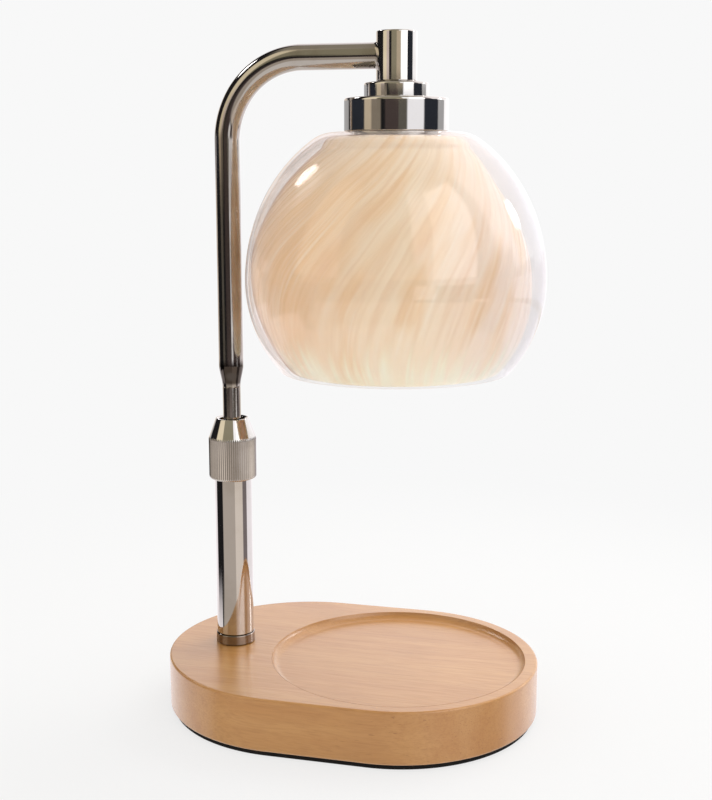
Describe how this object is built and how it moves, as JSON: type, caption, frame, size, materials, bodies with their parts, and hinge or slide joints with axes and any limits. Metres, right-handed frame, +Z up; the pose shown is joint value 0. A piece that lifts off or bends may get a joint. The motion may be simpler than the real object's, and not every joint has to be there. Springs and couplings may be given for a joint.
{
  "type": "candle warmer lamp",
  "caption": "Candle warmer lamp: stadium-shaped wooden base with a jar recess, sliding and swivelling column with a knurled lock nut, bent arm, glass globe shade over a reflector bulb.",
  "frame": {"origin": "centre of the object's footprint, on the surface it stands on, under the base pad", "axes": "+Z up; +X along the base's long axis from the column towards the candle's end; +Y towards the side that the picture doesn't show"},
  "size_m": [0.18, 0.1378, 0.3199],
  "materials": {
    "beech": "clear satin lacquer over pale straight-grained beech",
    "pad_foam": "matt black foam",
    "inlet_rubber": "matt black rubber",
    "polished_nickel": "polished nickel plate",
    "dark_nickel": "polished gunmetal nickel plate",
    "zinc_steel": "zinc-plated steel",
    "brass": "turned brass",
    "nylon": "natural nylon",
    "porcelain": "glazed white porcelain",
    "silicone": "matt pale silicone",
    "clear_glass": "glossy clear blown glass",
    "art_glass": "glossy art glass, streaked cream and peach",
    "lamp_glass": "clear glass",
    "mirror_coat": "faceted dichroic mirror coating on glass"
  },
  "bodies": {
    "base": {"base_pad": "pad_foam", "wood_base": "beech", "cord_grommet": "inlet_rubber", "column_stud": "zinc_steel", "base_washer": "zinc_steel", "base_nut": "zinc_steel", "foot_ring": "polished_nickel", "lower_tube": "polished_nickel", "tube_plug": "brass", "collet": "brass"},
    "lock_nut": {"lock_nut": "polished_nickel"},
    "slider": {"guide_bush": "nylon"},
    "arm": {"slide_rod": "dark_nickel", "rod_clip": "zinc_steel", "arm_tube": "dark_nickel", "head_hub": "polished_nickel", "spacer_disc": "polished_nickel", "shade_cup": "polished_nickel", "head_nipple": "zinc_steel", "head_washer": "zinc_steel", "head_nut": "zinc_steel", "holder_sleeve": "zinc_steel", "holder_strap": "zinc_steel", "lampholder": "porcelain", "contact_1": "brass", "contact_2": "brass", "holder_lead_1": "silicone", "holder_lead_2": "silicone", "holder_screw_1": "zinc_steel", "holder_screw_2": "zinc_steel", "glass_shade": "clear_glass", "shade_liner": "art_glass", "neck_gasket": "silicone", "clamp_gasket": "silicone", "clamp_ring": "zinc_steel"},
    "bulb": {"bulb_cap": "porcelain", "bulb_pin_1": "brass", "bulb_pin_2": "brass", "bulb_reflector": "mirror_coat", "bulb_lens": "lamp_glass", "bulb_burner": "lamp_glass"}
  },
  "joints": [
    {"name": "lock_nut_turn", "type": "hinge", "parent": "base", "child": "lock_nut", "pos_m": [-0.0601, 0, 0.117], "axis": [0, 0, 1], "range_deg": [0, 360]},
    {"name": "height_slide", "type": "slide", "parent": "base", "child": "slider", "axis": [0, 0, 1], "range_m": [-0.012, 0.042]},
    {"name": "arm_swivel", "type": "hinge", "parent": "slider", "child": "arm", "pos_m": [-0.0601, 0, 0.0571], "axis": [0, 0, 1], "range_deg": [-90, 90]},
    {"name": "bulb_twist", "type": "hinge", "parent": "arm", "child": "bulb", "pos_m": [0.0207, 0, 0.2577], "axis": [0, 0, 1], "range_deg": [0, 20]}
  ]
}
